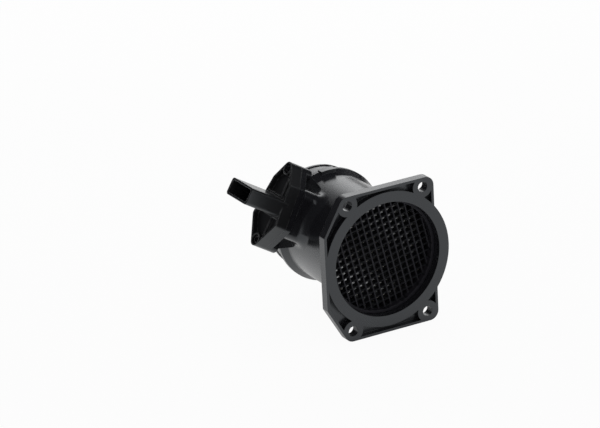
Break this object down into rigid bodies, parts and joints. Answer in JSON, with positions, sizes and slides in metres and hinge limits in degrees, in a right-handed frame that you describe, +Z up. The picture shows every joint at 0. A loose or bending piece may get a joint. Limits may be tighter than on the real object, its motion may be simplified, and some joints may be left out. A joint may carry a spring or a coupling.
{
  "type": "mass airflow sensor",
  "caption": "Black plastic airflow sensor tube with a square pocketed inlet flange, grid and mesh, hose spigot, and a plug-in head with a rectangular connector socket.",
  "frame": {"origin": "centre of the inlet flange's sealing face, which is also the centre of its bolt pattern", "axes": "+Y along the air flow from inlet to outlet, +Z up, +X to the right of someone who looks into the inlet"},
  "size_m": [0.1159, 0.09, 0.1015],
  "materials": {
    "housing_black": "glass-filled plastic, satin, as moulded",
    "grid_black": "plastic, satin",
    "mesh_steel": "drawn stainless wire",
    "carrier_black": "glass-filled plastic, satin",
    "seal_rubber": "moulded rubber",
    "cover_black": "glass-filled plastic",
    "plate_aluminium": "rolled sheet",
    "board_ceramic": "white ceramic with printed tracks",
    "chip_black": "moulded package",
    "capacitor_tan": "ceramic capacitor",
    "holder_steel": "thin rolled sheet",
    "silicon": "polished silicon",
    "bead_glass": "glass-coated bead on tinned leads",
    "screw_steel": "zinc-plated steel",
    "terminal_tin": "tin-plated brass"
  },
  "bodies": {
    "root": {"housing": "housing_black", "straightener_grid": "grid_black", "wire_mesh": "mesh_steel", "sensor_carrier": "carrier_black", "module_seal": "seal_rubber", "electronics_cover": "cover_black", "channel_cover": "cover_black", "base_plate": "plate_aluminium", "hybrid_board": "board_ceramic", "control_chip": "chip_black", "filter_capacitor_1": "capacitor_tan", "filter_capacitor_2": "capacitor_tan", "chip_holder": "holder_steel", "sensing_chip": "silicon", "air_thermistor": "bead_glass", "screw_upper": "screw_steel", "screw_lower": "screw_steel", "terminal_1": "terminal_tin", "terminal_2": "terminal_tin", "terminal_3": "terminal_tin", "terminal_4": "terminal_tin", "terminal_5": "terminal_tin"}
  },
  "joints": []
}
